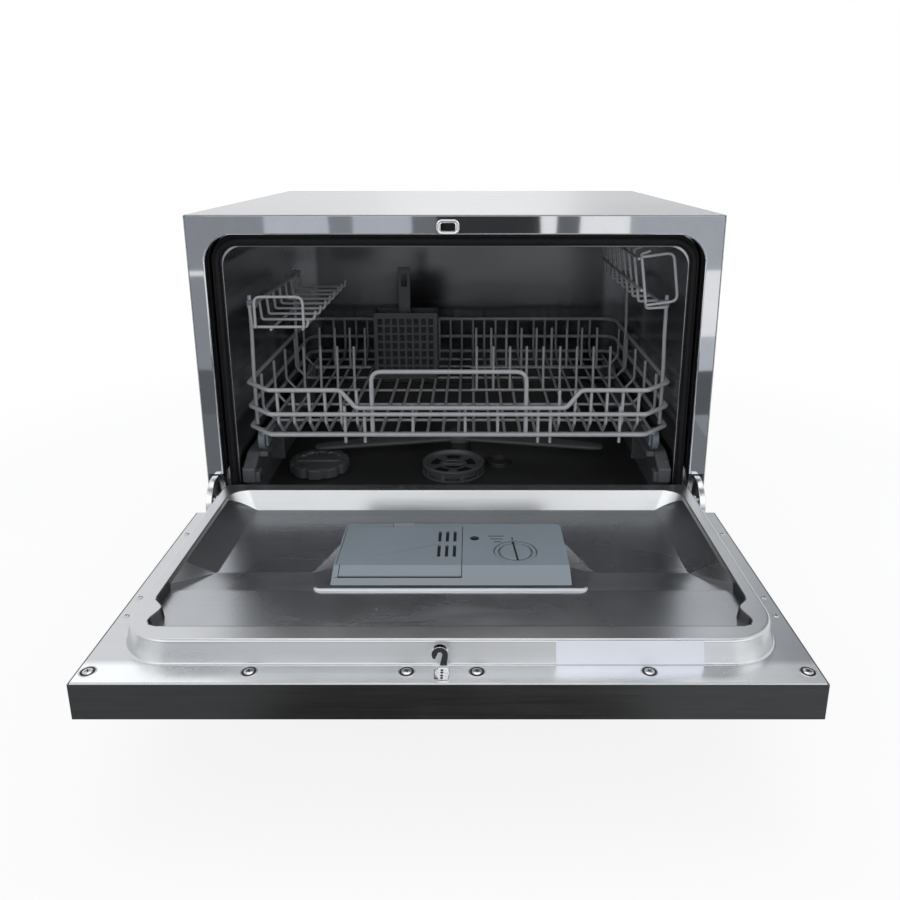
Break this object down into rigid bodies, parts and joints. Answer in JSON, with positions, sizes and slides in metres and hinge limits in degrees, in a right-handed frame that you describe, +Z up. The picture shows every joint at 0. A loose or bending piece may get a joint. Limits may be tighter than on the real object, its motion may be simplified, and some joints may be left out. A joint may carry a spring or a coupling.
{
  "type": "countertop dishwasher",
  "caption": "Compact tabletop dishwasher with lowered door, stainless tub, sliding wire rack on rollers, folding cup shelves, cutlery basket, spray arm and detergent dispenser.",
  "frame": {"origin": "on the worktop under the feet, in the middle of the machine's width and of its depth with the door lowered", "axes": "+X to the right as seen from the front, +Y from the door towards the back, +Z up"},
  "size_m": [0.55, 0.796, 0.438],
  "materials": {
    "silver_case": "satin silver",
    "polished_steel": "polished",
    "chrome": "bright",
    "tub_steel": "bright rolled",
    "door_steel": "dark satin",
    "liner_steel": "brushed",
    "hinge_steel": "plain",
    "plate_metal": "satin",
    "black_rubber": "matte",
    "dark_plastic": "matte",
    "base_plastic": "matte",
    "grey_plastic": "matte",
    "pale_plastic": "matte",
    "dispenser_plastic": "satin",
    "latch_plastic": "satin",
    "window_plastic": "gloss",
    "black_gloss": "gloss",
    "board": "matte",
    "felt": "felted",
    "coated_wire": "smooth coated",
    "wheel_plastic": "satin"
  },
  "bodies": {
    "cabinet": {"outer_wrap": "silver_case", "rear_panel": "silver_case", "front_frame": "polished_steel", "latch_bezel": "chrome", "latch_housing": "dark_plastic", "feet": "black_rubber", "base_tray": "base_plastic", "plinth": "silver_case", "tub": "tub_steel", "door_gasket": "black_rubber", "tub_floor": "dark_plastic", "lower_seal": "black_rubber", "rail_left": "grey_plastic", "rail_right": "grey_plastic", "sump": "dark_plastic", "wash_pump": "pale_plastic", "drain_pump": "pale_plastic", "heater": "tub_steel", "softener": "pale_plastic", "air_breaker": "pale_plastic", "inlet_valve": "pale_plastic", "drain_spigot": "dark_plastic", "cable_gland": "dark_plastic", "spray_post": "dark_plastic", "hinge_bracket_left": "hinge_steel", "hinge_bracket_right": "hinge_steel"},
    "door": {"door_outer_panel": "door_steel", "door_inner_liner": "liner_steel", "door_insulation": "felt", "door_screws": "hinge_steel", "latch_hook": "chrome", "rating_plate": "plate_metal", "hinge_arm_left": "chrome", "hinge_arm_right": "chrome", "dispenser_body": "dispenser_plastic", "rinse_window": "window_plastic", "control_fascia": "black_gloss", "display_window": "window_plastic", "control_board": "board"},
    "dispenser_lid": {"dispenser_lid": "dispenser_plastic"},
    "dispenser_latch": {"dispenser_latch": "latch_plastic"},
    "rinse_cap": {"rinse_cap": "dispenser_plastic"},
    "dish_rack": {"rack_basket": "coated_wire", "wheel_clips": "wheel_plastic"},
    "wheel_front_left": {"wheel_front_left": "wheel_plastic"},
    "wheel_front_right": {"wheel_front_right": "wheel_plastic"},
    "wheel_back_left": {"wheel_back_left": "wheel_plastic"},
    "wheel_back_right": {"wheel_back_right": "wheel_plastic"},
    "cup_shelf_left": {"cup_shelf_left": "coated_wire"},
    "cup_shelf_right": {"cup_shelf_right": "coated_wire"},
    "cutlery_basket": {"cutlery_basket": "dark_plastic"},
    "spray_arm": {"spray_arm": "grey_plastic"},
    "filter_unit": {"filter_unit": "dark_plastic"},
    "salt_cap": {"salt_cap": "dark_plastic"},
    "latch_catch": {"latch_catch": "pale_plastic"},
    "button_1": {"button_1": "pale_plastic"},
    "button_2": {"button_2": "pale_plastic"},
    "button_3": {"button_3": "pale_plastic"},
    "button_4": {"button_4": "pale_plastic"}
  },
  "joints": [
    {"name": "door_hinge", "type": "hinge", "parent": "cabinet", "child": "door", "pos_m": [0, -0.0866, 0.1266], "axis": [-1, 0, 0], "range_deg": [0, 90]},
    {"name": "dispenser_lid_hinge", "type": "hinge", "parent": "door", "child": "dispenser_lid", "pos_m": [-0.0474, -0.2715, 0.1406], "axis": [-1, 0, 0], "range_deg": [-75, 0]},
    {"name": "dispenser_latch_slide", "type": "slide", "parent": "door", "child": "dispenser_latch", "axis": [0, 1, 0], "range_m": [0, 0.003], "stiffness_N_per_m": 300, "springref_m": -0.002},
    {"name": "rinse_cap_turn", "type": "hinge", "parent": "door", "child": "rinse_cap", "pos_m": [0.057, -0.2373, 0.143], "axis": [0, 0, 1], "range_deg": [0, 90]},
    {"name": "rack_slide", "type": "slide", "parent": "cabinet", "child": "dish_rack", "axis": [0, 1, 0], "range_m": [-0.19, 0]},
    {"name": "cup_shelf_left_hinge", "type": "hinge", "parent": "dish_rack", "child": "cup_shelf_left", "pos_m": [-0.226, 0.088, 0.335], "axis": [0, -1, 0], "range_deg": [0, 82]},
    {"name": "cup_shelf_right_hinge", "type": "hinge", "parent": "dish_rack", "child": "cup_shelf_right", "pos_m": [0.23, 0.088, 0.335], "axis": [0, 1, 0], "range_deg": [-80, 0]},
    {"name": "cutlery_basket_lift", "type": "slide", "parent": "dish_rack", "child": "cutlery_basket", "axis": [0, 0, 1], "range_m": [0, 0.055]},
    {"name": "spray_arm_spin", "type": "hinge", "parent": "cabinet", "child": "spray_arm", "pos_m": [0, 0.154, 0.112], "axis": [0, 0, 1], "continuous": true},
    {"name": "filter_turn", "type": "hinge", "parent": "cabinet", "child": "filter_unit", "pos_m": [-0.007, 0.074, 0.092], "axis": [0, 0, 1], "range_deg": [0, 90]},
    {"name": "salt_cap_turn", "type": "hinge", "parent": "cabinet", "child": "salt_cap", "pos_m": [-0.184, 0.079, 0.098], "axis": [0, 0, 1], "range_deg": [0, 270]},
    {"name": "latch_catch_slide", "type": "slide", "parent": "cabinet", "child": "latch_catch", "axis": [1, 0, 0], "range_m": [0, 0.007], "stiffness_N_per_m": 300, "springref_m": -0.002},
    {"name": "wheel_front_left_roll", "type": "hinge", "parent": "dish_rack", "child": "wheel_front_left", "pos_m": [-0.227, -0.02, 0.174], "axis": [1, 0, 0], "continuous": true},
    {"name": "wheel_front_right_roll", "type": "hinge", "parent": "dish_rack", "child": "wheel_front_right", "pos_m": [0.231, -0.02, 0.174], "axis": [1, 0, 0], "continuous": true},
    {"name": "wheel_back_left_roll", "type": "hinge", "parent": "dish_rack", "child": "wheel_back_left", "pos_m": [-0.227, 0.263, 0.174], "axis": [1, 0, 0], "continuous": true},
    {"name": "wheel_back_right_roll", "type": "hinge", "parent": "dish_rack", "child": "wheel_back_right", "pos_m": [0.231, 0.263, 0.174], "axis": [1, 0, 0], "continuous": true},
    {"name": "button_1_press", "type": "slide", "parent": "door", "child": "button_1", "axis": [0, 0, 1], "range_m": [0, 0.0015], "stiffness_N_per_m": 400, "springref_m": -0.0005},
    {"name": "button_2_press", "type": "slide", "parent": "door", "child": "button_2", "axis": [0, 0, 1], "range_m": [0, 0.0015], "stiffness_N_per_m": 400, "springref_m": -0.0005},
    {"name": "button_3_press", "type": "slide", "parent": "door", "child": "button_3", "axis": [0, 0, 1], "range_m": [0, 0.0015], "stiffness_N_per_m": 400, "springref_m": -0.0005},
    {"name": "button_4_press", "type": "slide", "parent": "door", "child": "button_4", "axis": [0, 0, 1], "range_m": [0, 0.0015], "stiffness_N_per_m": 400, "springref_m": -0.0005}
  ],
  "couplings": [
    {"joint": "wheel_front_left_roll", "follows": "rack_slide", "rad_per_m": -76.923},
    {"joint": "wheel_front_right_roll", "follows": "rack_slide", "rad_per_m": -76.923},
    {"joint": "wheel_back_left_roll", "follows": "rack_slide", "rad_per_m": -76.923},
    {"joint": "wheel_back_right_roll", "follows": "rack_slide", "rad_per_m": -76.923}
  ]
}
